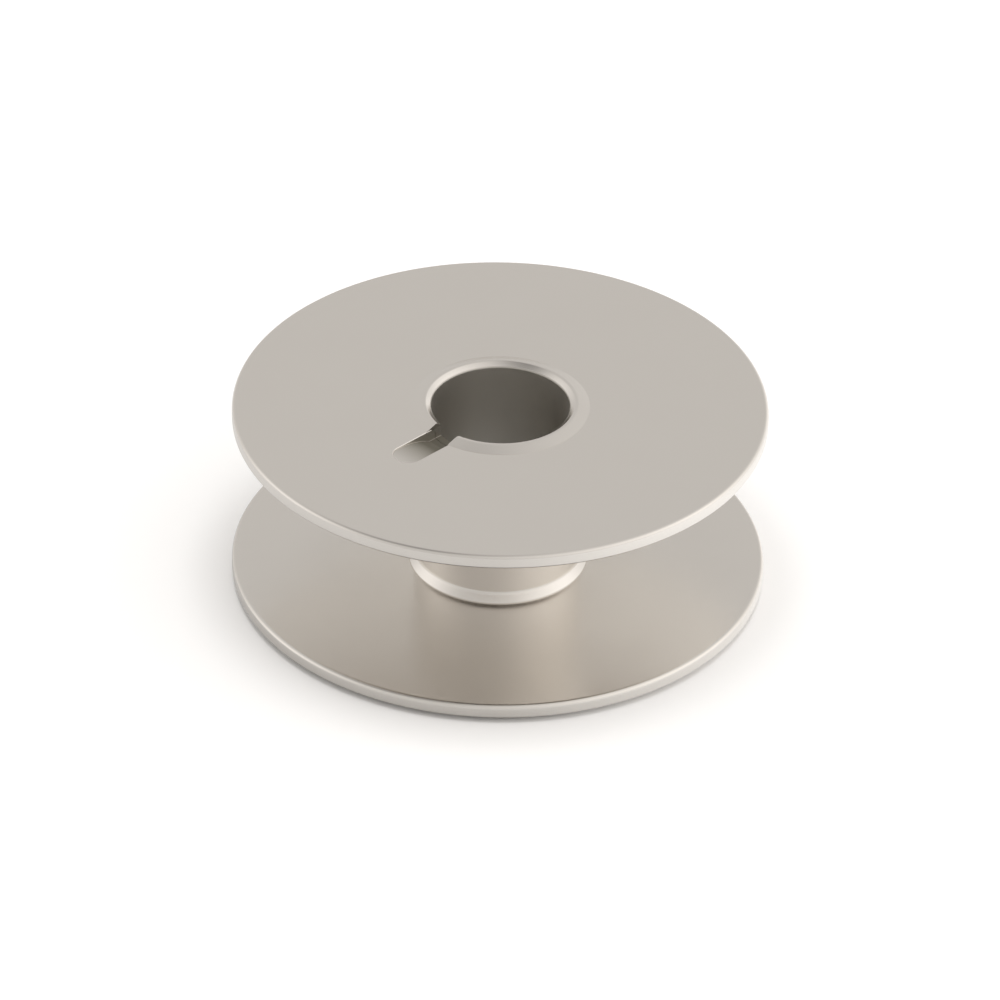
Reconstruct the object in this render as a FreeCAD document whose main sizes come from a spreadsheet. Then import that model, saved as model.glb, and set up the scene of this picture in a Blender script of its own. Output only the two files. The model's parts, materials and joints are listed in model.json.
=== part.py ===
import FreeCAD, Part
import math
import os

import Sketcher

# A bobbin for a sewing machine: a hub tube whose ends are rolled over two thin discs.
# It stands on its lower lip, with the origin under the bore's axis and +Z up that axis.

# Driving sizes: millimetres, and degrees for the bearing
SIZES = {
    "flange_diameter": 24.0,  # across each disc
    "flange_thickness": 0.7,  # sheet that each disc is blanked from
    "rim_round": 0.2,  # outer corner of each rim, rolled over when the disc is blanked
    "rim_chamfer": 0.15,  # inner corner of each rim, with its burr taken off
    "winding_width": 7.3,  # room for thread between the discs
    "bore_diameter": 6.2,  # spindle hole, right through the hub
    "bore_flare": 0.26,  # bell mouth at each end of the bore
    "barrel_wall": 0.65,  # tube that the thread winds on
    "collar_step": 0.3,  # how far a collar, the seat of a disc, stands out from the barrel
    "collar_height": 0.4,  # from the disc to the top of the collar's cone
    "collar_edge": 0.1,  # upright edge between the collar's cone and the disc
    "neck_wall": 0.35,  # thin end of the tube, inside a disc's hole
    "countersink": 0.25,  # mouth of a disc's hole, filled by the spread end of the neck
    "lip_reach": 0.55,  # how far the rolled lip reaches out from the neck, over the disc
    "lip_height": 0.2,  # lip's crest, above the disc's outer face
    "lip_flat": 0.1,  # flat ring on the lip's crest
    "lip_edge": 0.02,  # upright outer edge of the lip
    "seat_gap": 0.02,  # clearance between the tube and a disc's hole
    "slot_width": 1.35,  # key slot in the upper disc, and its notch in the hub
    "slot_reach": 6.4,  # from the axis to the slot's round end
    "slot_bearing": 225.0,  # way the slot points, from +X towards +Y
    "slot_end_depth": 0.06,  # slot's floor at its round end, below the disc's outer face
    "slot_depth": 0.55,  # slot's level floor around the bore, below the disc's outer face
    "slot_floor_radius": 4.8,  # arc along which the floor dips from the round end
    "slot_edge_round": 0.05,  # rounded edge around the slot's mouth
    "notch_corner_round": 0.25,  # rounded corners where the notch meets the bore
}
SHEET = "Sizes"
ORIGIN_POINT = (-1, 1)
NEAR = 1e-6


class Size:
    """A size as a number to draw with and as a formula that binds it to the sheet."""

    def __init__(self, number, formula):
        self.number = number
        self.formula = formula

    def __add__(self, other):
        return Size(self.number + other.number, f"({self.formula} + {other.formula})")

    def __sub__(self, other):
        return Size(self.number - other.number, f"({self.formula} - {other.formula})")

    def half(self):
        return Size(self.number / 2, f"({self.formula} / 2)")


GROUND = Size(0.0, "0")


def make_sheet(doc):
    """Writes the driving sizes to a sheet and gives each back by its name."""
    sheet = doc.addObject("Spreadsheet::Sheet", SHEET)
    named = {}
    for row, (name, number) in enumerate(SIZES.items(), start=1):
        sheet.set(f"A{row}", name)
        sheet.set(f"B{row}", str(number))
        sheet.setAlias(f"B{row}", name)
        named[name] = Size(number, f"{SHEET}.{name}")
    doc.recompute()
    return named


def tube_radii(size):
    """Radii of the hub, from the bore outwards."""
    bore = size["bore_diameter"].half()
    barrel = bore + size["barrel_wall"]
    neck = bore + size["neck_wall"]
    return {
        "bore": bore,
        "barrel": barrel,
        "collar": barrel + size["collar_step"],
        "neck": neck,
        "spread": neck + size["countersink"],
        "crest_inside": bore + size["bore_flare"],
        "crest_outside": bore + size["bore_flare"] + size["lip_flat"],
        "lip": neck + size["lip_reach"],
    }


def stack_levels(size):
    """Heights of the faces along the axis, from the lower lip's end to the upper lip's."""
    lower_face = size["lip_height"]
    lower_seat = lower_face + size["flange_thickness"]
    upper_seat = lower_seat + size["winding_width"]
    upper_face = upper_seat + size["flange_thickness"]
    return {
        "lower_face": lower_face,
        "lower_seat": lower_seat,
        "upper_seat": upper_seat,
        "upper_face": upper_face,
        "top": upper_face + size["lip_height"],
    }


def add_sketch(body, name, role):
    """An empty sketch on one of the body's own origin planes."""
    sketch = body.newObject("Sketcher::SketchObject", name)
    plane = next(feature for feature in body.Origin.OriginFeatures if feature.Role == role)
    sketch.AttachmentSupport = [(plane, "")]
    sketch.MapMode = "FlatFace"
    return sketch


def bind(sketch, kind, places, size):
    """Adds a dimension to a sketch and ties it to the sheet."""
    index = sketch.addConstraint(Sketcher.Constraint(kind, *places, size.number))
    sketch.setExpression(f"Constraints[{index}]", size.formula)


def draw_section(sketch, corners):
    """Draws a closed half section through corners given as radius and height."""
    points = [FreeCAD.Vector(radius.number, height.number) for radius, height in corners]
    count = len(points)
    for index, point in enumerate(points):
        sketch.addGeometry(Part.LineSegment(point, points[(index + 1) % count]))
    for index, (radius, height) in enumerate(corners):
        sketch.addConstraint(Sketcher.Constraint("Coincident", index, 2, (index + 1) % count, 1))
        bind(sketch, "DistanceX", (*ORIGIN_POINT, index, 1), radius)
        if height is GROUND:
            sketch.addConstraint(Sketcher.Constraint("PointOnObject", index, 1, -1))
        else:
            bind(sketch, "DistanceY", (*ORIGIN_POINT, index, 1), height)


def draw_circle(sketch, radius):
    """Draws a circle about the sketch's origin."""
    index = sketch.addGeometry(Part.Circle(FreeCAD.Vector(), FreeCAD.Vector(0, 0, 1), radius.number))
    sketch.addConstraint(Sketcher.Constraint("Coincident", index, 3, *ORIGIN_POINT))
    bind(sketch, "Radius", (index,), radius)


def draw_slot(sketch, size):
    """Draws the key slot along the sketch's X, from the axis out to its round end."""
    end_radius = size["slot_width"].half()
    end_centre = size["slot_reach"] - end_radius
    side, straight = end_radius.number, end_centre.number
    corners = [
        FreeCAD.Vector(straight, side),
        FreeCAD.Vector(0, side),
        FreeCAD.Vector(0, -side),
        FreeCAD.Vector(straight, -side),
    ]
    left, inner, right = [
        sketch.addGeometry(Part.LineSegment(start, end)) for start, end in zip(corners, corners[1:])
    ]
    tip = FreeCAD.Vector(straight + side, 0)
    arc = sketch.addGeometry(Part.Arc(corners[3], tip, corners[0]))
    for kind, *places in [
        ("Coincident", left, 2, inner, 1),
        ("Coincident", inner, 2, right, 1),
        ("Tangent", right, 2, arc, 1),
        ("Tangent", arc, 2, left, 1),
        ("PointOnObject", arc, 3, -1),
        ("Horizontal", left),
        ("PointOnObject", inner, 1, -2),
        ("PointOnObject", inner, 2, -2),
    ]:
        sketch.addConstraint(Sketcher.Constraint(kind, *places))
    bind(sketch, "DistanceX", (*ORIGIN_POINT, arc, 3), end_centre)
    bind(sketch, "Radius", (arc,), end_radius)


def draw_dip(sketch, size, face, ceiling):
    """Draws the side view of the slot's dip: its floor falls in an arc, then runs level to the axis."""
    inner = tube_radii(size)["barrel"]
    outer = size["slot_reach"] - size["slot_width"].half()
    low = face - size["slot_depth"]
    shallow = face - size["slot_end_depth"]
    radius = size["slot_floor_radius"]
    start = FreeCAD.Vector(inner.number, low.number)
    end = FreeCAD.Vector(outer.number, shallow.number)
    chord = end - start
    rise = radius.number - math.sqrt(radius.number ** 2 - chord.Length ** 2 / 4)
    crown = (start + end) / 2 + FreeCAD.Vector(-chord.y, chord.x) * (rise / chord.Length)
    high = ceiling.number
    corners = [end, FreeCAD.Vector(end.x, high), FreeCAD.Vector(0, high), FreeCAD.Vector(0, start.y), start]
    wall, top, axis, flat = [
        sketch.addGeometry(Part.LineSegment(first, second)) for first, second in zip(corners, corners[1:])
    ]
    floor = sketch.addGeometry(Part.Arc(start, crown, end))
    for kind, *places in [
        ("Coincident", wall, 2, top, 1),
        ("Coincident", top, 2, axis, 1),
        ("Coincident", axis, 2, flat, 1),
        ("Coincident", flat, 2, floor, 2),
        ("Coincident", floor, 1, wall, 1),
        ("Vertical", wall),
        ("Horizontal", top),
        ("Horizontal", flat),
        ("PointOnObject", axis, 1, -2),
        ("PointOnObject", axis, 2, -2),
    ]:
        sketch.addConstraint(Sketcher.Constraint(kind, *places))
    bind(sketch, "DistanceX", (*ORIGIN_POINT, flat, 2), inner)
    bind(sketch, "DistanceY", (*ORIGIN_POINT, flat, 2), low)
    bind(sketch, "DistanceX", (*ORIGIN_POINT, wall, 1), outer)
    bind(sketch, "DistanceY", (*ORIGIN_POINT, wall, 1), shallow)
    bind(sketch, "DistanceY", (*ORIGIN_POINT, axis, 1), ceiling)
    bind(sketch, "Radius", (floor,), radius)


def ring_edges(shape, radius, height):
    """Names of the round edges of one radius at one height about the axis."""
    names = []
    for index, edge in enumerate(shape.Edges, start=1):
        if not isinstance(edge.Curve, Part.Circle):
            continue
        offset = edge.Curve.Center - FreeCAD.Vector(0, 0, height.number)
        if offset.Length < NEAR and abs(edge.Curve.Radius - radius.number) < NEAR:
            names.append(f"Edge{index}")
    return names


def slot_mouth_edges(shape, height, end_radius):
    """Names of the slot's edges at one height: two straight sides and the round end."""
    names = []
    for index, edge in enumerate(shape.Edges, start=1):
        level = all(abs(vertex.Z - height.number) < NEAR for vertex in edge.Vertexes)
        straight = isinstance(edge.Curve, Part.Line)
        end = isinstance(edge.Curve, Part.Circle) and abs(edge.Curve.Radius - end_radius.number) < NEAR
        if level and (straight or end):
            names.append(f"Edge{index}")
    return names


def upright_edges(shape, radius):
    """Names of the upright corners, between two faces, at one radius about the axis."""
    names = []
    for index, edge in enumerate(shape.Edges, start=1):
        from_axis = [math.hypot(vertex.X, vertex.Y) for vertex in edge.Vertexes]
        at_radius = all(abs(distance - radius.number) < NEAR for distance in from_axis)
        upright = isinstance(edge.Curve, Part.Line) and abs(edge.Curve.Direction.z) > 1 - NEAR
        if upright and at_radius and len(shape.ancestorsOfType(edge, Part.Face)) == 2:
            names.append(f"Edge{index}")
    return names


def dress_edges(body, kind, name, edges, measure, size):
    """Rounds or chamfers named edges of the body's last feature."""
    base = body.Tip
    feature = body.newObject(f"PartDesign::{kind}", name)
    feature.Base = (base, edges)
    feature.setExpression(measure, size.formula)
    body.Document.recompute()


def turn_to_slot(sketch, size, axis, height):
    """Turns a sketch about its own axis to the slot's bearing and lifts it to a height."""
    bearing = size["slot_bearing"]
    turn = FreeCAD.Rotation(axis, bearing.number)
    sketch.AttachmentOffset = FreeCAD.Placement(FreeCAD.Vector(0, 0, height.number), turn)
    sketch.setExpression("AttachmentOffset.Base.z", height.formula)
    sketch.setExpression("AttachmentOffset.Rotation.Angle", f"{bearing.formula} * 1 deg")


def cut_pocket(body, name, sketch, length, symmetric):
    """Cuts a sketch out of the body, and makes sure that it took material away."""
    before = body.Shape.Volume
    pocket = body.newObject("PartDesign::Pocket", name)
    pocket.Profile = sketch
    pocket.Midplane = symmetric
    pocket.setExpression("Length", length.formula)
    body.Document.recompute()
    if body.Shape.Volume >= before:
        raise RuntimeError(f"{name} cut nothing")


def cut_slot(body, name, size, face):
    """Cuts the slot's outline into the disc's outer face, as deep as its round end."""
    sketch = add_sketch(body, f"{name}_outline", "XY_Plane")
    turn_to_slot(sketch, size, FreeCAD.Vector(0, 0, 1), face)
    draw_slot(sketch, size)
    cut_pocket(body, name, sketch, size["slot_end_depth"], symmetric=False)


def cut_dip(body, name, size, face, ceiling):
    """Cuts the slot's dip, from the round end down to the bore."""
    sketch = add_sketch(body, f"{name}_side", "XZ_Plane")
    turn_to_slot(sketch, size, FreeCAD.Vector(0, 1, 0), GROUND)
    draw_dip(sketch, size, face, ceiling)
    cut_pocket(body, name, sketch, size["slot_width"], symmetric=True)


def make_hub(doc, size):
    """The tube: bore, barrel, collars, necks and rolled lips, with the key's notch in its upper end."""
    radius = tube_radii(size)
    level = stack_levels(size)
    flare = size["bore_flare"]
    spread = size["countersink"]
    edge = size["lip_edge"]
    body = doc.addObject("PartDesign::Body", "hub")
    section = add_sketch(body, "hub_section", "XZ_Plane")
    draw_section(section, [
        (radius["bore"], flare),
        (radius["crest_inside"], GROUND),
        (radius["crest_outside"], GROUND),
        (radius["lip"], level["lower_face"] - edge),
        (radius["lip"], level["lower_face"]),
        (radius["spread"], level["lower_face"]),
        (radius["neck"], level["lower_face"] + spread),
        (radius["neck"], level["lower_seat"]),
        (radius["collar"], level["lower_seat"]),
        (radius["collar"], level["lower_seat"] + size["collar_edge"]),
        (radius["barrel"], level["lower_seat"] + size["collar_height"]),
        (radius["barrel"], level["upper_seat"] - size["collar_height"]),
        (radius["collar"], level["upper_seat"] - size["collar_edge"]),
        (radius["collar"], level["upper_seat"]),
        (radius["neck"], level["upper_seat"]),
        (radius["neck"], level["upper_face"] - spread),
        (radius["spread"], level["upper_face"]),
        (radius["lip"], level["upper_face"]),
        (radius["lip"], level["upper_face"] + edge),
        (radius["crest_outside"], level["top"]),
        (radius["crest_inside"], level["top"]),
        (radius["bore"], level["top"] - flare),
    ])
    turned = body.newObject("PartDesign::Revolution", "hub_turned")
    turned.Profile = section
    turned.ReferenceAxis = (section, ["V_Axis"])
    turned.Angle = 360
    doc.recompute()

    cut_dip(body, "key_notch", size, level["upper_face"], level["top"] + size["lip_height"])
    notch_corners = upright_edges(body.Shape, radius["bore"])
    dress_edges(body, "Fillet", "notch_corner_rounds", notch_corners, "Radius", size["notch_corner_round"])
    return body


def make_flange(doc, name, size, slotted):
    """A disc with its inner face on its own origin plane and its outer, countersunk face above."""
    rim = size["flange_diameter"].half()
    hole = tube_radii(size)["neck"] + size["seat_gap"]
    outer_face = size["flange_thickness"]
    body = doc.addObject("PartDesign::Body", name)
    outline = add_sketch(body, f"{name}_outline", "XY_Plane")
    draw_circle(outline, rim)
    draw_circle(outline, hole)
    blank = body.newObject("PartDesign::Pad", f"{name}_blank")
    blank.Profile = outline
    blank.setExpression("Length", outer_face.formula)
    doc.recompute()

    hole_mouth = ring_edges(body.Shape, hole, outer_face)
    dress_edges(body, "Chamfer", f"{name}_countersink", hole_mouth, "Size", size["countersink"])
    if slotted:
        cut_slot(body, "key_slot", size, outer_face)
        cut_dip(body, "key_slot_dip", size, outer_face, outer_face + size["lip_height"])
        mouth = slot_mouth_edges(body.Shape, outer_face, size["slot_width"].half())
        dress_edges(body, "Fillet", "slot_mouth_round", mouth, "Radius", size["slot_edge_round"])
    inner_rim = ring_edges(body.Shape, rim, GROUND)
    dress_edges(body, "Chamfer", f"{name}_rim_chamfer", inner_rim, "Size", size["rim_chamfer"])
    outer_rim = ring_edges(body.Shape, rim, outer_face)
    dress_edges(body, "Fillet", f"{name}_rim_round", outer_rim, "Radius", size["rim_round"])
    return body


def seat_flange(body, height, turn):
    """Puts a disc's inner face against its collar, with its outer face away from the barrel."""
    tilt = FreeCAD.Rotation(FreeCAD.Vector(1, 0, 0), turn)
    body.Placement = FreeCAD.Placement(FreeCAD.Vector(0, 0, height.number), tilt)
    body.setExpression("Placement.Base.z", height.formula)


def check_document(doc, bodies):
    """Stops if a feature failed or a piece is not one valid solid."""
    for item in doc.Objects:
        if "Invalid" in item.State or "Error" in item.State:
            raise RuntimeError(f"{item.Label} failed: {item.State}")
    for body in bodies:
        shape = body.Shape
        if shape.isNull() or not shape.isValid() or len(shape.Solids) != 1:
            raise RuntimeError(f"{body.Label} is not one valid solid")


def main():
    doc = FreeCAD.newDocument("bobbin")
    size = make_sheet(doc)
    level = stack_levels(size)
    hub = make_hub(doc, size)
    upper_flange = make_flange(doc, "upper_flange", size, slotted=True)
    lower_flange = make_flange(doc, "lower_flange", size, slotted=False)
    seat_flange(upper_flange, level["upper_seat"], turn=0)
    seat_flange(lower_flange, level["lower_seat"], turn=180)
    doc.recompute()

    bodies = [hub, upper_flange, lower_flange]
    check_document(doc, bodies)
    os.makedirs("parts", exist_ok=True)
    for body in bodies:
        body.Shape.exportStep(f"parts/{body.Label}.step")
        print(f"{body.Label}: {body.Shape.Volume:.2f} mm3")


main()
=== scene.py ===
"""A sewing machine's bobbin: a bored hub tube whose ends are rolled over two thin discs, all nickel plated.

The hub, the slotted upper disc and the plain lower disc are turned and cut in millimetres around the frame's
+Z axis, then brought to metres. They stand on a white table in a soft light tent.
"""

import json
import logging
import math
from dataclasses import dataclass
from enum import Enum

import bmesh
import bpy
from bmesh.types import BMEdge, BMesh, BMVert
from mathutils import Matrix, Vector

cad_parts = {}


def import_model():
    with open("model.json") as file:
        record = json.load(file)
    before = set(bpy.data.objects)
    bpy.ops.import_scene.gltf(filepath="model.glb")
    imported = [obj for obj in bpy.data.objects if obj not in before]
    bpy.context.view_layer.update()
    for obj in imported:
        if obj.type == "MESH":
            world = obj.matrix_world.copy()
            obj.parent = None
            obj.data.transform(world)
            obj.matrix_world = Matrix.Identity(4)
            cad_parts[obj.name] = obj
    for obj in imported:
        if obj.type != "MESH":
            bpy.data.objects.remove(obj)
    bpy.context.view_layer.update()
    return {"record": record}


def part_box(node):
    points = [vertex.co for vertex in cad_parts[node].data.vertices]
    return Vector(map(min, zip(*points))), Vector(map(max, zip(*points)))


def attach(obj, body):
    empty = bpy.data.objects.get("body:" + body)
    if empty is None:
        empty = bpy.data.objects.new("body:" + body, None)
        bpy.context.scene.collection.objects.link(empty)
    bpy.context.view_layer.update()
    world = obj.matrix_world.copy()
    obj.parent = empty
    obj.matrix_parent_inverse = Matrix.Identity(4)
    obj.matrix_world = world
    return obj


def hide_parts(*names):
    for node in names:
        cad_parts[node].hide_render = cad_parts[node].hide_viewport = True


LOG = logging.getLogger("bobbin")
MM = 0.001
NEAR = 1e-4  # millimetres within which two points are one
CUT = 1  # material number that marks a cut's walls while a piece is made
LOOKS_UP = 0.9  # least upward part of the normal of a face that looks up
CREASE = 32.0  # degrees between two faces above which their edge stays sharp
FLAT_FIRST = 100  # how strongly the larger face sets the shading at an edge
BODY = "root"

Colour = tuple[float, float, float]
Point = tuple[float, float]
Way = tuple[float, float, float]


class Marks(Enum):
    """How the tool that finished a piece travelled over it."""

    FACED = "faced"
    TURNED = "turned"


class DiscKind(Enum):
    """The two discs, by the names of their nodes."""

    SLOTTED = "upper_flange"
    PLAIN = "lower_flange"


# Mesh work

def spin_section(corners: list[Point], steps: int) -> BMesh:
    """Turns a closed half section around the axis.

    Args:
        corners: radius and height of each corner, in millimetres, in order around the section.
        steps: number of facets around the axis.

    Returns:
        The turned solid.
    """
    mesh = bmesh.new()
    ring = [mesh.verts.new((radius, 0.0, height)) for radius, height in corners]
    sides = [mesh.edges.new((vert, ring[number - 1])) for number, vert in enumerate(ring)]
    bmesh.ops.spin(
        mesh, geom=ring + sides, cent=(0, 0, 0), axis=(0, 0, 1), angle=math.tau, steps=steps, use_merge=True
    )
    bmesh.ops.remove_doubles(mesh, verts=mesh.verts, dist=NEAR)
    bmesh.ops.recalc_face_normals(mesh, faces=mesh.faces)
    return mesh


def ring_edges(mesh: BMesh, radius: float, height: float) -> list[BMEdge]:
    """Finds the edges of one turned corner.

    Args:
        mesh: a turned solid.
        radius: the corner's radius, in millimetres.
        height: the corner's height, in millimetres.

    Returns:
        The edges that run around the axis at that radius and height.
    """
    def on_ring(vert: BMVert) -> bool:
        """Says whether a point lies on the ring."""
        return abs(vert.co.xy.length - radius) < NEAR and abs(vert.co.z - height) < NEAR

    return [edge for edge in mesh.edges if all(on_ring(vert) for vert in edge.verts)]


def round_edges(mesh: BMesh, edges: list[BMEdge], radius: float, segments: int) -> None:
    """Rounds edges.

    Args:
        mesh: the solid that they belong to.
        edges: the edges.
        radius: how far the round reaches from each edge, in millimetres.
        segments: number of facets across the round.
    """
    bmesh.ops.bevel(
        mesh, geom=edges, offset=radius, offset_type="OFFSET", segments=segments, profile=0.5,
        affect="EDGES", clamp_overlap=False, material=-1,
    )


def to_data(name: str, mesh: BMesh) -> bpy.types.Mesh:
    """Makes the kept form of a mesh and frees the one that was worked on.

    Args:
        name: the kept mesh's name.
        mesh: the mesh that was worked on.

    Returns:
        The kept mesh.
    """
    data = bpy.data.meshes.new(name)
    mesh.to_mesh(data)
    mesh.free()
    return data


def add_object(name: str, data: bpy.types.ID) -> bpy.types.Object:
    """Puts an object into the scene.

    Args:
        name: the object's name.
        data: its mesh, lamp or camera.

    Returns:
        The object, at the origin.
    """
    item = bpy.data.objects.new(name, data)
    bpy.context.scene.collection.objects.link(item)
    return item


def cut_away(blank: BMesh, tool: BMesh) -> BMesh:
    """Cuts one solid out of another and frees both.

    Args:
        blank: the solid to cut.
        tool: the solid that is taken out of it.

    Returns:
        The cut solid, with its cut walls marked by the material number CUT.
    """
    for face in tool.faces:
        face.material_index = CUT
    stand_ins = []
    for name, mesh in (("blank", blank), ("tool", tool)):
        data = to_data(name, mesh)
        for _ in range(CUT + 1):
            data.materials.append(None)
        stand_ins.append(add_object(name, data))
    cut = stand_ins[0].modifiers.new("cut", "BOOLEAN")
    cut.operation = "DIFFERENCE"
    cut.solver = "EXACT"
    cut.object = stand_ins[1]
    result = bmesh.new()
    result.from_object(stand_ins[0], bpy.context.evaluated_depsgraph_get())
    for stand_in in stand_ins:
        bpy.data.meshes.remove(stand_in.data)
    result.normal_update()
    return result


def mouth_edges(mesh: BMesh) -> list[BMEdge]:
    """Finds the edges where a cut opens into a face that looks up.

    Args:
        mesh: a cut solid.

    Returns:
        The edges between the cut's walls and that face.
    """
    def is_mouth(edge: BMEdge) -> bool:
        """Says whether an edge joins a cut wall and a face that looks up."""
        sides = sorted(edge.link_faces, key=lambda face: face.material_index)
        return [face.material_index for face in sides] == [0, CUT] and sides[0].normal.z > LOOKS_UP

    return [edge for edge in mesh.edges if is_mouth(edge)]


def make_piece(name: str, mesh: BMesh, material: bpy.types.Material) -> bpy.types.Object:
    """Brings a solid from millimetres to metres and makes it an object with clean shading.

    Args:
        name: the piece's name.
        mesh: the solid, which is freed.
        material: the finish that it wears.

    Returns:
        The piece.
    """
    bmesh.ops.remove_doubles(mesh, verts=mesh.verts, dist=NEAR)
    for face in mesh.faces:
        face.material_index = 0
    bmesh.ops.scale(mesh, vec=(MM, MM, MM), verts=mesh.verts)
    data = to_data(name, mesh)
    data.materials.append(material)
    data.shade_smooth()
    data.set_sharp_from_angle(angle=math.radians(CREASE))
    piece = add_object(name, data)
    weighted = piece.modifiers.new("flat_faces_first", "WEIGHTED_NORMAL")
    weighted.mode = "FACE_AREA_WITH_ANGLE"
    weighted.weight = FLAT_FIRST
    weighted.keep_sharp = True
    return piece


# Finishes

class ShaderBench:
    """The nodes of one material or world, added and joined one at a time."""

    def __init__(self, owner: bpy.types.Material | bpy.types.World) -> None:
        """Starts with an empty node tree.

        Args:
            owner: the material or world.
        """
        owner.use_nodes = True
        self.tree = owner.node_tree
        self.tree.nodes.clear()

    def add(self, kind: str, inputs: dict | None = None, **settings: object) -> bpy.types.Node:
        """Adds a node.

        Args:
            kind: the node's type.
            inputs: for each input's name or number, the socket that feeds it or its fixed value.
            settings: the node's own properties.

        Returns:
            The node.
        """
        node = self.tree.nodes.new(kind)
        for name, value in settings.items():
            setattr(node, name, value)
        for name, value in (inputs or {}).items():
            self._feed(node.inputs[name], value)
        return node

    def sum(self, operation: str, first: object, second: object) -> bpy.types.NodeSocket:
        """Works out one step of arithmetic and gives its socket."""
        return self.add("ShaderNodeMath", {0: first, 1: second}, operation=operation).outputs[0]

    def blend(self, share: object, first: object, second: object) -> bpy.types.NodeSocket:
        """Mixes two colours.

        Args:
            share: the second colour's share.
            first: the first colour, or its socket.
            second: the second colour, or its socket.

        Returns:
            The mixed colour's socket.
        """
        node = self.add("ShaderNodeMix", {0: share}, data_type="RGBA")
        ends = [socket for socket in node.inputs if socket.type == "RGBA"]
        for socket, value in zip(ends, (first, second)):
            self._feed(socket, value)
        return next(socket for socket in node.outputs if socket.type == "RGBA")

    def rescale(self, value: object, source: Point, target: Point) -> bpy.types.NodeSocket:
        """Carries a value from one range to another, held at the ends, and gives its socket."""
        inputs = {0: value, 1: source[0], 2: source[1], 3: target[0], 4: target[1]}
        return self.add("ShaderNodeMapRange", inputs, clamp=True).outputs[0]

    def along(self, place: bpy.types.NodeSocket, way: Way | Vector) -> bpy.types.NodeSocket:
        """Measures how far a place lies along one way and gives its socket."""
        node = self.add("ShaderNodeVectorMath", {0: place, 1: way}, operation="DOT_PRODUCT")
        return node.outputs["Value"]

    def radius(self, place: bpy.types.NodeSocket) -> bpy.types.NodeSocket:
        """Measures how far a place lies from the axis and gives its socket."""
        flat = self.add("ShaderNodeVectorMath", {0: place, 1: (1.0, 1.0, 0.0)}, operation="MULTIPLY")
        return self.add("ShaderNodeVectorMath", {0: flat.outputs[0]}, operation="LENGTH").outputs["Value"]

    def _feed(self, socket: bpy.types.NodeSocket, value: object) -> None:
        """Joins an input to the socket that feeds it, or sets its fixed value.

        Args:
            socket: the input.
            value: the socket that feeds it, or the fixed value.
        """
        if isinstance(value, bpy.types.NodeSocket):
            self.tree.links.new(value, socket)
        else:
            socket.default_value = value


@dataclass(frozen=True)
class PaintedRecessShade:
    """Painted shade, darker and rougher, in the key slot, more towards the bore where the slot is deepest,
    and faintly on the bore itself.

    Lengths are metres. The painted shade in the slot starts inside the bore, between two shares of the bore's
    radius.
    """

    bore: float
    face: float
    slot_bearing: float
    slot_reach: float
    slot_side: float
    corner_side: float
    slot_depth: float
    # colour of the painted shade in the slot and the bore
    tone: Colour = (0.29, 0.275, 0.23)
    roughness: float = 0.9
    start_shares: Point = (0.5, 0.7)
    darkest_reach: float = 4.3 * MM
    wall_share: float = 0.2
    bore_share: float = 0.4
    edge: float = 0.03 * MM
    wall_edge: float = 0.006 * MM

    def mask(self, bench: ShaderBench, place: bpy.types.NodeSocket) -> bpy.types.NodeSocket:
        """Lays out where the shade is painted.

        Args:
            bench: the material's nodes.
            place: socket of the place on the piece.

        Returns:
            The socket of a mask that is 1 where the painted shade is darkest.
        """
        bearing = math.radians(self.slot_bearing)
        along = bench.along(place, (math.cos(bearing), math.sin(bearing), 0.0))
        across = bench.along(place, (-math.sin(bearing), math.cos(bearing), 0.0))
        across = bench.sum("ABSOLUTE", across, 0.0)
        depth = bench.sum("SUBTRACT", self.face, bench.along(place, (0.0, 0.0, 1.0)))
        start, full = self.start_shares
        wall = self.slot_side - self.wall_edge
        in_slot = bench.rescale(along, (start * self.bore, full * self.bore), (0.0, 1.0))
        # Painted shade fainter towards the slot's end and on its walls, and none beside, above or below it
        for share in (
            bench.rescale(along, (self.darkest_reach, self.slot_reach), (1.0, 0.0)),
            bench.rescale(across, (wall - 2 * self.wall_edge, wall), (1.0, self.wall_share)),
            bench.rescale(across, (self.corner_side, self.corner_side + self.edge), (1.0, 0.0)),
            bench.rescale(depth, (self.edge, 2 * self.edge), (0.0, 1.0)),
            bench.rescale(depth, (self.slot_depth + self.edge, self.slot_depth + 2 * self.edge), (1.0, 0.0)),
        ):
            in_slot = bench.sum("MULTIPLY", in_slot, share)
        # painted shade on the bore's wall, fainter than in the slot
        mouth = self.bore + self.edge
        in_bore = bench.rescale(bench.radius(place), (mouth, mouth + self.edge), (self.bore_share, 0.0))
        return bench.sum("MAXIMUM", in_slot, in_bore)


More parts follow.
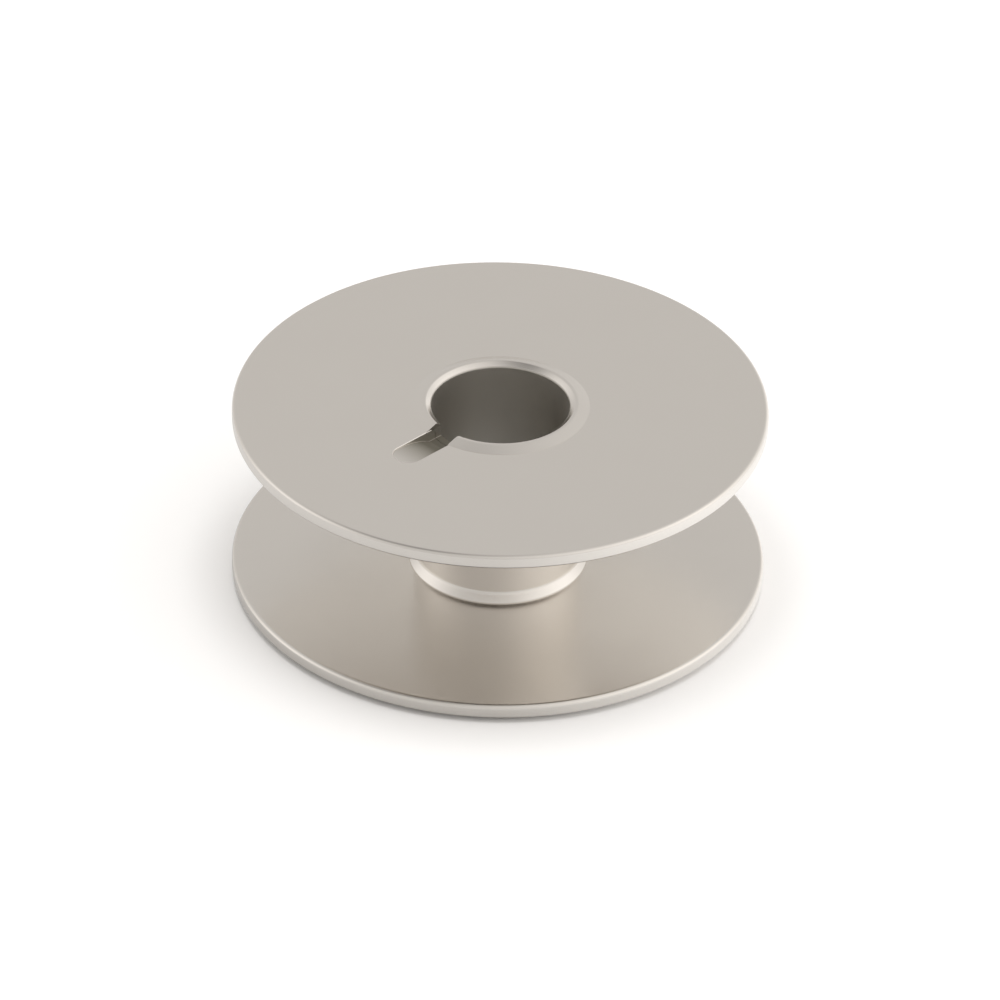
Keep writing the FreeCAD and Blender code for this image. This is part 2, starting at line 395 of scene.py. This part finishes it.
@dataclass(frozen=True)
class NickelPlate:
    """Nickel plate over steel: a warm grey metal with faint tool marks, cloudy gloss and painted shade in the
    key slot and bore.
    """

    name: str
    marks: Marks
    recess_shade: PaintedRecessShade
    tone: Colour
    dull_tone: Colour
    roughness: float
    roughness_swing: float
    mark_pitch: float = 0.05 * MM
    mark_depth: float = 0.0003 * MM
    mark_detail: float = 2.0
    cloud_size: float = 3.0 * MM
    cloud_detail: float = 4.0
    cloud_range: Point = (0.3, 0.7)

    def material(self) -> bpy.types.Material:
        """Lays out the plate's nodes.

        Returns:
            The material.
        """
        material = bpy.data.materials.new(self.name)
        bench = ShaderBench(material)
        place = bench.add("ShaderNodeTexCoord").outputs["Object"]
        clouds = bench.add(
            "ShaderNodeTexNoise", {"Vector": place, "Scale": 1 / self.cloud_size, "Detail": self.cloud_detail}
        ).outputs["Fac"]
        marks = self._tool_marks(bench, place)
        # Painted shade in the key slot and bore: a darker colour and a rougher gloss
        painted_shade = self.recess_shade.mask(bench, place)
        tone = bench.blend(clouds, (*self.tone, 1.0), (*self.dull_tone, 1.0))
        tone = bench.blend(painted_shade, tone, (*self.recess_shade.tone, 1.0))
        smooth, rough = self.roughness - self.roughness_swing, self.roughness + self.roughness_swing
        gloss = bench.rescale(clouds, self.cloud_range, (smooth, rough))
        gloss = bench.sum("ADD", gloss, bench.sum("MULTIPLY", painted_shade, self.recess_shade.roughness - self.roughness))
        bump = bench.add("ShaderNodeBump", {"Strength": 1.0, "Distance": self.mark_depth, "Height": marks})
        shader = bench.add("ShaderNodeBsdfPrincipled", {
            "Base Color": tone,
            "Metallic": 1.0,
            "Roughness": gloss,
            "Normal": bump.outputs["Normal"],
        })
        bench.add("ShaderNodeOutputMaterial", {"Surface": shader.outputs["BSDF"]})
        return material

    def _tool_marks(self, bench: ShaderBench, place: bpy.types.NodeSocket) -> bpy.types.NodeSocket:
        """Lays out fine rings around the axis, spaced along the tool's travel.

        Args:
            bench: the material's nodes.
            place: socket of the place on the piece.

        Returns:
            The socket of the marks' height.
        """
        parts = bench.add("ShaderNodeSeparateXYZ", {"Vector": place}).outputs
        travel = bench.radius(place)
        if self.marks is Marks.TURNED:
            travel = bench.sum("ADD", travel, parts["Z"])
        spaced = bench.add("ShaderNodeCombineXYZ", {
            "X": bench.sum("DIVIDE", travel, self.mark_pitch),
            "Y": bench.sum("DIVIDE", parts["X"], self.cloud_size),
            "Z": bench.sum("DIVIDE", parts["Y"], self.cloud_size),
        }).outputs["Vector"]
        return bench.add(
            "ShaderNodeTexNoise", {"Vector": spaced, "Scale": 1.0, "Detail": self.mark_detail}
        ).outputs["Fac"]


# Sub-assemblies

@dataclass
class KeySlot:
    """The slot for the winder's key, whose floor dips from its round end to the bore, in millimetres."""

    bore: float
    level_reach: float
    face: float
    width: float = 1.35
    reach: float = 6.4
    bearing: float = 225.0
    end_depth: float = 0.06
    depth: float = 0.55
    floor_radius: float = 4.8
    far_corner_round: float = 0.08
    near_corner_round: float = 0.95
    mouth_play: float = 0.02
    end_segments: int = 24
    corner_segments: int = 10
    floor_steps: int = 24

    def floor(self, along: float) -> float:
        """Works out the dipping floor, an arc that goes on level past both its ends.

        Args:
            along: distance from the axis along the slot, in millimetres.

        Returns:
            The floor's height there, in millimetres.
        """
        start = Vector((self.level_reach, -self.depth))
        end = Vector((self.reach - self.width / 2, -self.end_depth))
        place = min(max(along, start.x), end.x)
        chord = end - start
        sink = math.sqrt(self.floor_radius ** 2 - chord.length_squared / 4)
        centre = (start + end) / 2 + Vector((chord.y, -chord.x)).normalized() * sink
        return self.face + centre.y + math.sqrt(self.floor_radius ** 2 - (place - centre.x) ** 2)

    def cutter(self, ceiling: float) -> BMesh:
        """Makes the solid that cuts the slot.

        Args:
            ceiling: height of its upper face, in millimetres.

        Returns:
            A bar with a dipping floor and a round outer end, which widens in two rounded corners at the bore.
        """
        side = self.width / 2
        far_mouth, near_mouth = self._mouth(self.far_corner_round), self._mouth(self.near_corner_round)
        outline = [
            (0, -far_mouth.y), (far_mouth.x, -far_mouth.y), (far_mouth.x, -side), (self.reach, -side),
            (self.reach, side), (near_mouth.x, side), (near_mouth.x, near_mouth.y), (0, near_mouth.y),
        ]
        tool = bmesh.new()
        corners = [tool.verts.new((x, y, ceiling)) for x, y in outline]
        tool.faces.new(corners)
        _, _, far_corner, *end_corners, near_corner, _, _ = corners
        self._round_corners(tool, end_corners, side, self.end_segments)
        self._round_corners(tool, [far_corner], self.far_corner_round, self.corner_segments)
        self._round_corners(tool, [near_corner], self.near_corner_round, self.corner_segments)
        bmesh.ops.remove_doubles(tool, verts=tool.verts, dist=NEAR)
        self._sink_floor(tool)
        turn = Matrix.Rotation(math.radians(self.bearing), 3, "Z")
        bmesh.ops.rotate(tool, verts=tool.verts, cent=(0, 0, 0), matrix=turn)
        bmesh.ops.recalc_face_normals(tool, faces=tool.faces)
        return tool

    def _mouth(self, corner_round: float) -> Vector:
        """Gives where a rounded corner ends, just inside the bore, along and across the slot."""
        shoulder = self.width / 2 + corner_round
        return Vector((math.sqrt((self.bore - self.mouth_play) ** 2 - shoulder ** 2), shoulder))

    def _round_corners(self, tool: BMesh, corners: list[BMVert], radius: float, segments: int) -> None:
        """Rounds corners of the outline.

        Args:
            tool: the outline's face.
            corners: the corners.
            radius: their radius, in millimetres.
            segments: number of edges that make each round.
        """
        bmesh.ops.bevel(
            tool, geom=corners, offset=radius, offset_type="OFFSET", segments=segments, profile=0.5,
            affect="VERTICES", clamp_overlap=False, material=-1,
        )

    def _sink_floor(self, tool: BMesh) -> None:
        """Splits the outline along the dip and grows it down to the floor.

        Args:
            tool: the outline's face, which becomes a solid.
        """
        run = self.reach - self.width / 2 - self.level_reach
        for step in range(self.floor_steps + 1):
            bmesh.ops.bisect_plane(
                tool, geom=[*tool.verts, *tool.edges, *tool.faces], dist=NEAR,
                plane_co=(self.level_reach + run * step / self.floor_steps, 0, 0), plane_no=(1, 0, 0),
            )
        grown = bmesh.ops.extrude_face_region(tool, geom=list(tool.faces))["geom"]
        for vert in (item for item in grown if isinstance(item, BMVert)):
            vert.co.z = self.floor(vert.co.x)


@dataclass
class HubTube:
    """The bored tube: barrel, two collars, two necks and two rolled lips, in millimetres."""

    bore: float
    foot: float
    lower_face: float
    lower_seat: float
    upper_seat: float
    upper_face: float
    top: float
    bore_flare: float = 0.26
    flare_depth: float = 0.21
    barrel_wall: float = 0.65
    neck_wall: float = 0.35
    neck_play: float = 0.02
    collar_step: float = 0.3
    collar_height: float = 0.4
    collar_edge: float = 0.05
    countersink: float = 0.25
    lip_reach: float = 0.55
    lip_flat: float = 0.1
    lip_edge: float = 0.005
    crest_round: float = 0.045
    bore_round: float = 0.04
    collar_foot_round: float = 0.12
    collar_edge_round: float = 0.03
    steps: int = 192
    round_segments: int = 5

    @classmethod
    def from_frame(cls, record: dict) -> "HubTube":
        """Takes the tube's levels and bore from the frame.

        Args:
            record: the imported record.

        Returns:
            The tube, sized to fit its discs.
        """
        spindle = next(mount for mount in record["mounts"] if mount["name"] == "spindle_bore")
        low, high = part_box("hub")
        lower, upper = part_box(DiscKind.PLAIN.value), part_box(DiscKind.SLOTTED.value)
        levels = [low.z, lower[0].z, lower[1].z, upper[0].z, upper[1].z, high.z]
        return cls(spindle["dims"]["r_mm"], *(level / MM for level in levels))

    @property
    def barrel(self) -> float:
        """Gives the barrel's radius."""
        return self.bore + self.barrel_wall

    @property
    def collar(self) -> float:
        """Gives the collars' radius."""
        return self.barrel + self.collar_step

    @property
    def neck(self) -> float:
        """Gives the necks' radius."""
        return self.bore + self.neck_wall

    @property
    def crest(self) -> float:
        """Gives the radius at which the bore's bell mouth meets the lip's crest."""
        return self.bore + self.bore_flare

    def build(self, slot: KeySlot, finish: NickelPlate) -> bpy.types.Object:
        """Turns the tube, softens its corners and cuts the key's notch.

        Args:
            slot: the key slot that the notch carries on.
            finish: the plate that the tube wears.

        Returns:
            The hub, riding on the frame's body.
        """
        lower_end = self._end_section(self.foot, self.lower_face, self.lower_seat, 1)
        upper_end = self._end_section(self.top, self.upper_face, self.upper_seat, -1)
        mesh = spin_section(lower_end + upper_end[::-1], self.steps)
        for radius, height, reach in self._soft_corners():
            round_edges(mesh, ring_edges(mesh, radius, height), reach, self.round_segments)
        mesh = cut_away(mesh, slot.cutter(self.top + slot.width))
        piece = make_piece("hub_tube", mesh, finish.material())
        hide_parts("hub")
        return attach(piece, BODY)

    def _end_section(self, tip: float, face: float, seat: float, inwards: int) -> list[Point]:
        """Lays out the half section of one end, from the bore over the lip to the barrel.

        Args:
            tip: height of the end itself, in millimetres.
            face: height of the disc's outer face.
            seat: height of the disc's inner face, on which the collar lies.
            inwards: 1 where the tube lies above this end, and -1 where it lies below.

        Returns:
            Radius and height of each corner.
        """
        lip = self.neck + self.lip_reach
        return [
            (self.bore, tip + inwards * self.flare_depth),
            (self.crest, tip),
            (self.crest + self.lip_flat, tip),
            (lip, face - inwards * self.lip_edge),
            (lip, face),
            (self.neck + self.countersink, face),
            (self.neck, face + inwards * self.countersink),
            (self.neck, seat),
            (self.collar, seat),
            (self.collar, seat + inwards * self.collar_edge),
            (self.barrel, seat + inwards * self.collar_height),
        ]

    def _soft_corners(self) -> list[tuple[float, float, float]]:
        """Lists the corners to soften at both ends.

        Returns:
            Radius and height of each corner, with the reach of its round.
        """
        return [
            corner
            for tip, seat, inwards in ((self.foot, self.lower_seat, 1), (self.top, self.upper_seat, -1))
            for corner in (
                (self.bore, tip + inwards * self.flare_depth, self.bore_round),
                (self.crest, tip, self.crest_round),
                (self.crest + self.lip_flat, tip, self.crest_round),
                (self.barrel, seat + inwards * self.collar_height, self.collar_foot_round),
                (self.collar, seat + inwards * self.collar_edge, self.collar_edge_round),
            )
        ]


@dataclass
class Disc:
    """One thin disc with a countersunk hole, in millimetres. Its outer face is the countersunk one."""

    kind: DiscKind
    rim: float
    inner_face: float
    outer_face: float
    hole: float
    countersink: float
    rim_round: float = 0.2
    slot_edge_round: float = 0.05
    steps: int = 256
    round_segments: int = 6

    @classmethod
    def from_frame(cls, kind: DiscKind, hub: HubTube) -> "Disc":
        """Takes the disc's radius and levels from the frame, and its hole from the hub.

        Args:
            kind: which of the two discs.
            hub: the tube whose neck goes through the hole.

        Returns:
            The disc, in its place.
        """
        low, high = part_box(kind.value)
        inner, outer = (low.z, high.z) if kind is DiscKind.SLOTTED else (high.z, low.z)
        return cls(kind, high.x / MM, inner / MM, outer / MM, hub.neck + hub.neck_play, hub.countersink)

    def build(self, slot: KeySlot, finish: NickelPlate) -> bpy.types.Object:
        """Turns the disc, rounds its rim and, on the slotted one, cuts the key slot.

        Args:
            slot: the key slot.
            finish: the plate that the disc wears.

        Returns:
            The disc, riding on the frame's body.
        """
        outwards = math.copysign(1.0, self.outer_face - self.inner_face)
        mesh = spin_section([
            (self.hole, self.inner_face),
            (self.rim, self.inner_face),
            (self.rim, self.outer_face),
            (self.hole + self.countersink, self.outer_face),
            (self.hole, self.outer_face - outwards * self.countersink),
        ], self.steps)
        for height in (self.inner_face, self.outer_face):
            round_edges(mesh, ring_edges(mesh, self.rim, height), self.rim_round, self.round_segments)
        if self.kind is DiscKind.SLOTTED:
            mesh = cut_away(mesh, slot.cutter(self.outer_face + slot.width))
            round_edges(mesh, mouth_edges(mesh), self.slot_edge_round, self.round_segments)
        piece = make_piece(self.kind.value + "_disc", mesh, finish.material())
        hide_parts(self.kind.value)
        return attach(piece, BODY)


# Studio

@dataclass(frozen=True)
class TentPatch:
    """A soft patch on the tent's wall, brighter or darker than the rest. Angles are degrees."""

    azimuth: float
    elevation: float
    glow: float
    tightness: float

    def way(self) -> Vector:
        """Gives the way from the object to the patch, with azimuth 0 on the camera's side and 90 at +X."""
        around, up = math.radians(self.azimuth), math.radians(self.elevation)
        return Vector((math.sin(around) * math.cos(up), -math.cos(around) * math.cos(up), math.sin(up)))


@dataclass
class LightTent:
    """The white table and the glowing tent around it. Lengths are metres, and a glow of 1 is white."""

    floor_size: float = 3.0
    floor_tone: float = 0.7
    floor_lift: float = 0.35
    front_glow: float = 0.0
    side_glow: float = 0.08
    right_glow: float = 0.4
    lamp_place: Point = (0.025, 0.5)
    lamp_side: float = 0.26
    lamp_power: float = 0.9
    wall_colour: Colour = (1.0, 0.97, 0.94)
    wall_glow: float = 0.67
    patches: tuple[TentPatch, ...] = (
        TentPatch(azimuth=104.0, elevation=16.0, glow=0.48, tightness=5.5),
        TentPatch(azimuth=60.0, elevation=28.0, glow=0.4, tightness=3.7),
        TentPatch(azimuth=147.0, elevation=0.0, glow=0.4, tightness=25.0),
        TentPatch(azimuth=-95.0, elevation=14.0, glow=0.5, tightness=6.0),
        TentPatch(azimuth=-75.0, elevation=68.0, glow=-0.4, tightness=12.0),
    )

    def build(self) -> None:
        """Sets the table, the lamp over it and the tent."""
        self._floor()
        self._lamp()
        self._walls()

    def _floor(self) -> None:
        """Lays the white table, which keeps the object's shadow."""
        mesh = bmesh.new()
        bmesh.ops.create_grid(mesh, x_segments=1, y_segments=1, size=self.floor_size / 2)
        data = to_data("white_table", mesh)
        data.materials.append(self._table_white())
        floor = add_object("white_table", data)

    def _table_white(self) -> bpy.types.Material:
        """Lays out the table's nodes.

        Returns:
            A matt white, lifted for the camera, which adds a faint glow where the metal mirrors it.
        """
        material = bpy.data.materials.new("table_white")
        bench = ShaderBench(material)
        rays = bench.add("ShaderNodeLightPath").outputs
        lift = bench.sum("MULTIPLY", rays["Is Camera Ray"], self.floor_lift)
        paper = bench.add("ShaderNodeBsdfDiffuse", {"Color": bench.sum("ADD", lift, self.floor_tone)})
        place = bench.add("ShaderNodeTexCoord").outputs["Object"]
        way = bench.add("ShaderNodeVectorMath", {0: place}, operation="NORMALIZE").outputs["Vector"]
        parts = bench.add("ShaderNodeSeparateXYZ", {"Vector": way}).outputs
        strength = bench.rescale(parts["Y"], (-1.0, 0.0), (self.front_glow, self.side_glow))
        strength = bench.sum("ADD", strength, bench.rescale(parts["X"], (0.0, 1.0), (0.0, self.right_glow)))
        mirrored = bench.sum("MAXIMUM", rays["Is Glossy Ray"], rays["Is Transmission Ray"])
        glow = bench.add("ShaderNodeEmission", {"Strength": bench.sum("MULTIPLY", mirrored, strength)})
        both = bench.add("ShaderNodeAddShader", {0: paper.outputs[0], 1: glow.outputs[0]})
        bench.add("ShaderNodeOutputMaterial", {"Surface": both.outputs[0]})
        return material

    def _lamp(self) -> None:
        """Hangs a soft lamp over the table, a little behind, which shades the table and isn't mirrored."""
        data = bpy.data.lights.new("overhead_lamp", "AREA")
        data.size = self.lamp_side
        data.energy = self.lamp_power
        lamp = add_object("overhead_lamp", data)
        lamp.location = (0.0, *self.lamp_place)
        lamp.visible_glossy = False

    def _walls(self) -> None:
        """Makes the tent's even glow and its soft patches."""
        world = bpy.data.worlds.new("tent")
        bpy.context.scene.world = world
        bench = ShaderBench(world)
        way = bench.add("ShaderNodeTexCoord").outputs["Generated"]
        glow = self.wall_glow
        for patch in self.patches:
            nearness = bench.sum("MAXIMUM", bench.along(way, patch.way()), 0.0)
            share = bench.sum("POWER", nearness, patch.tightness)
            glow = bench.sum("ADD", bench.sum("MULTIPLY", share, patch.glow), glow)
        colour = (*self.wall_colour, 1.0)
        background = bench.add("ShaderNodeBackground", {"Color": colour, "Strength": glow})
        bench.add("ShaderNodeOutputWorld", {"Surface": background.outputs[0]})


@dataclass
class PhotoCamera:
    """The camera, fitted to the photograph. Pixels are those of its 1000 by 1000 frame.

    The sensor's width is millimetres, other lengths are metres, and angles are degrees.
    """

    aim: Vector
    aim_pixel: Point = (500.5, 405.2)
    frame_pixels: float = 1000.0
    focal_pixels: float = 9401.0
    sensor: float = 36.0
    sight_elevation: float = 33.44
    roll: float = 1.03
    distance: float = 0.42
    near_clip: float = 0.01
    far_clip: float = 100.0

    def place(self) -> None:
        """Puts the camera where the aim falls on its pixel, seen at the sight's elevation."""
        data = bpy.data.cameras.new("camera")
        data.sensor_width = self.sensor
        data.lens = self.focal_pixels / self.frame_pixels * self.sensor
        data.clip_start, data.clip_end = self.near_clip, self.far_clip
        middle = self.frame_pixels / 2
        offset = Vector((self.aim_pixel[0] - middle, middle - self.aim_pixel[1], -self.focal_pixels))
        elevation = math.radians(self.sight_elevation) + math.atan2(offset.y, self.focal_pixels)
        tip = Matrix.Rotation(math.radians(90.0) - elevation, 4, "X")
        turn = tip @ Matrix.Rotation(math.radians(self.roll), 4, "Z")
        reach = turn.to_3x3() @ (offset / self.focal_pixels * self.distance)
        camera = add_object("camera", data)
        camera.matrix_world = Matrix.Translation(self.aim - reach) @ turn
        bpy.context.scene.camera = camera


def main() -> None:
    """Builds the bobbin and its studio in order."""
    logging.basicConfig(level=logging.INFO, format="%(name)s: %(message)s")
    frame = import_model()
    bpy.context.scene.view_settings.view_transform = "Standard"

    hub = HubTube.from_frame(frame["record"])
    slot = KeySlot(hub.bore, level_reach=hub.barrel, face=hub.upper_face)
    # Painted shade for the key slot's recess and the bore, worn by both plates
    recess_shade = PaintedRecessShade(
        bore=hub.bore * MM, face=slot.face * MM, slot_bearing=slot.bearing, slot_reach=slot.reach * MM,
        slot_side=slot.width / 2 * MM, corner_side=(slot.width / 2 + slot.near_corner_round) * MM,
        slot_depth=slot.depth * MM,
    )
    hub_plate = NickelPlate(
        "hub_plate", Marks.TURNED, recess_shade, tone=(0.78, 0.75, 0.71), dull_tone=(0.75, 0.72, 0.68),
        roughness=0.2, roughness_swing=0.03,
    )
    disc_plate = NickelPlate(
        "disc_plate", Marks.FACED, recess_shade, tone=(0.78, 0.75, 0.71), dull_tone=(0.765, 0.735, 0.695),
        roughness=0.24, roughness_swing=0.03,
    )
    pieces = [hub.build(slot, hub_plate)]
    pieces += [Disc.from_frame(kind, hub).build(slot, disc_plate) for kind in DiscKind]
    for piece in pieces:
        LOG.info("%s: %d faces", piece.name, len(piece.data.polygons))

    LightTent().build()
    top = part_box(DiscKind.SLOTTED.value)[1].z
    PhotoCamera(aim=Vector((0.0, 0.0, top))).place()


if __name__ == "__main__":
    main()
